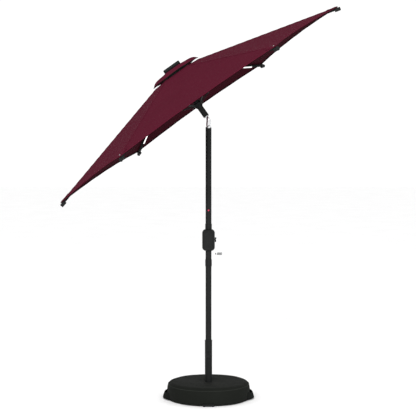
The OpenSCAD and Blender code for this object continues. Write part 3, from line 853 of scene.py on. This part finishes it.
def light_box():
    """The solar light box: a soft-edged case with a recessed cell panel and a short stem."""
    # Each ring of the case: its inset, and its height
    profile = [(0.006, 0.0), (0.002, 0.0006), (0.0, 0.003), (0.0, 0.015), (0.0008, 0.0185), (0.003, 0.0206),
               (0.0052, 0.021), (0.0056, 0.0202), (0.0056, 0.0196), (0.014, 0.0196)]
    rings = []
    for inset, up in profile:
        outline = rounded_outline(BOX_HALF - inset, BOX_HALF - inset, max(0.004, 0.012 - inset))
        rings.append([TIPPED @ Vector((x, y, BOX_LOW + up)) for x, y in outline])
    points, faces = loft(rings)
    case = piece("light_box_case", points, faces, PLASTIC, "upper_mast")
    points, faces = lathe([(0.010, 2.0032), (0.010, 2.0065), (0.030, 2.0075), (0.036, 2.0093)], 32, TIPPED)
    piece("light_box_stem", points, faces, PLASTIC, "upper_mast")
    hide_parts("solar_housing")
    half = BOX_HALF - 0.0058
    outline = rounded_outline(half, half, 0.006)
    rings, places = [], []
    for size, up in ((1.0, 0.0192), (1.0, 0.0202), (0.985, 0.0205), (0.5, 0.0206), (0.02, 0.0206)):
        rings.append([TIPPED @ Vector((x * size, y * size, BOX_LOW + up)) for x, y in outline])
        places += [(x * size, y * size) for x, y in outline]
    points, faces = loft(rings)
    cell = piece("solar_cell_face", points, faces, CELL, "upper_mast", places, smooth=False)
    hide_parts("solar_panel")


# ---------- light strips and lift cord ----------


def led_strip(i):
    """A milky strip with round ends, on the underside of a rib."""
    turn = 2 * math.pi * (i - 1) / RIBS
    start, end, half_w = 0.430, 0.850, RIB_W / 2
    middle = (start + end) / 2
    hinge = Matrix.Rotation(turn, 4, "Z") @ Matrix.Translation((RIB_HINGE_R, 0, CROWN_Z))
    place = TIPPED @ hinge @ Matrix.Rotation(RIB_FALL, 4, "Y")
    outline = []
    for centre, first in ((end - half_w, -math.pi / 2), (start + half_w, math.pi / 2)):
        for k in range(13):
            angle = first + math.pi * k / 12
            outline.append((centre + half_w * math.cos(angle), half_w * math.sin(angle)))
    under = -RIB_H / 2
    rings = []
    for inset, down in ((0.0, 0.0001), (0.0, 0.0014), (0.0006, 0.0022), (0.002, 0.0026)):
        ring = []
        for x, y in outline:
            along = x + inset if x < middle else x - inset
            ring.append(place @ Vector((along, y * (1 - inset / half_w), under - down)))
        rings.append(ring)
    points, faces = loft(rings)
    strip = piece(f"light_strip_{i}", points, faces, LED, f"rib_arm_{i}")
    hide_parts(f"led_strip_{i}")


def lift_cord():
    """The braided cord where it shows, on the open side of the tilt joint."""
    # In millimetres from the tilt joint's pin
    knots = [(-7.5, -9.4, -46.5), (-7.6, -9.6, -41.5), (-9.5, -14.6, -33), (-8.8, -15.1, -17),
             (-7.6, -15.2, -1), (-5.2, -15.2, 12), (-6.3, -9.9, 17.6), (-9.5, -9, 22)]
    path = smooth_path([PIVOT + Vector(k) / 1000 for k in knots])
    points, faces = sweep(path, 0.004, 14)
    cord = piece("lift_cord_bend", points, faces, CORD_BRAID, None)
    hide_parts("cord_bend")
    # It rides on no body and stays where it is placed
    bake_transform(cord)


# ---------- finish of the CAD pieces ----------

LOOKS = {
    "black_paint": PAINT,
    "black_plastic": PLASTIC,
    "cast_silver": CAST,
    "bright_steel": STEEL,
    "foot_rubber": RUBBER,
    "bag_cloth": BAG_CLOTH,
    "webbing": WEBBING,
    "sand": SAND,
    "canopy_cloth": CLOTH,
    "cord": CORD_BRAID,
    "led": LED,
    "solar_cell": CELL,
    "switch_red": RED,
    "grip_grey": GREY_PLASTIC,
}


def dress_cad():
    """Gives each CAD node the finish of its material slot."""
    for entry in frame["record"]["subparts"]:
        made = NODES[entry["node"]]
        for slot in made.material_slots:
            slot.material = LOOKS[entry["material_slot"]]


# ---------- stage ----------


def stage():
    """Plain pale floor, soft sky and two large soft lights."""
    made, shader, tree = material("floor")
    grain = noise_node(tree, on_object(tree), 2.0, 3)
    tree.links.new(ramp(tree, grain, (0.9, 0.9, 0.9), (0.93, 0.93, 0.93)), shader.inputs["Base Color"])
    shader.inputs["Roughness"].default_value = 0.9
    size = 30
    corners = [(-size, -size, 0), (size, -size, 0), (size, size, 0), (-size, size, 0)]
    mesh = bpy.data.meshes.new("floor")
    mesh.from_pydata(corners, [], [(0, 1, 2, 3)])
    mesh.materials.append(made)
    floor = bpy.data.objects.new("floor", mesh)
    bpy.context.scene.collection.objects.link(floor)
    world = bpy.data.worlds.new("studio")
    world.use_nodes = True
    sky = world.node_tree.nodes["Background"]
    sky.inputs["Color"].default_value = (1, 1, 1, 1)
    sky.inputs["Strength"].default_value = 1.07
    bpy.context.scene.world = world
    # Standard, so that white stays as white as in the photo and the cloth's colour can be compared with it
    bpy.context.scene.view_settings.view_transform = "Standard"
    soft_light("key", (-1.5, -6.0, 4.5), (0, 0, 1.4), 3.0, 300)
    soft_light("fill", (2.0, -6.5, 1.6), (0, 0, 1.0), 3.0, 160)


def soft_light(name, place, target, size, power):
    """A square area light that faces its target."""
    lamp = bpy.data.lights.new(name, "AREA")
    lamp.size = size
    lamp.energy = power
    made = bpy.data.objects.new(name, lamp)
    made.location = place
    made.rotation_euler = (Vector(target) - Vector(place)).to_track_quat("-Z", "Y").to_euler()
    bpy.context.scene.collection.objects.link(made)


def camera():
    """The camera that the photo was solved for."""
    made = bpy.data.objects.new("camera", bpy.data.cameras.new("camera"))
    made.data.lens = LENS
    made.data.sensor_width = SENSOR
    made.location = (CAMERA_SIDE, -CAMERA_DISTANCE, CAMERA_HEIGHT)
    made.rotation_euler = (math.pi / 2 - CAMERA_DOWN, 0, 0)
    bpy.context.scene.collection.objects.link(made)
    bpy.context.scene.camera = made


camera()
stage()
dress_cad()
for rib in range(1, RIBS + 1):
    canopy_panel(rib)
    led_strip(rib)
vent_cap()
light_box()
lift_cord()
for shell, facing in (("housing_front", -1), ("housing_rear", 1)):
    housing_shell(shell, facing)
clamp_knob()
weight_bag()
bag_handles()
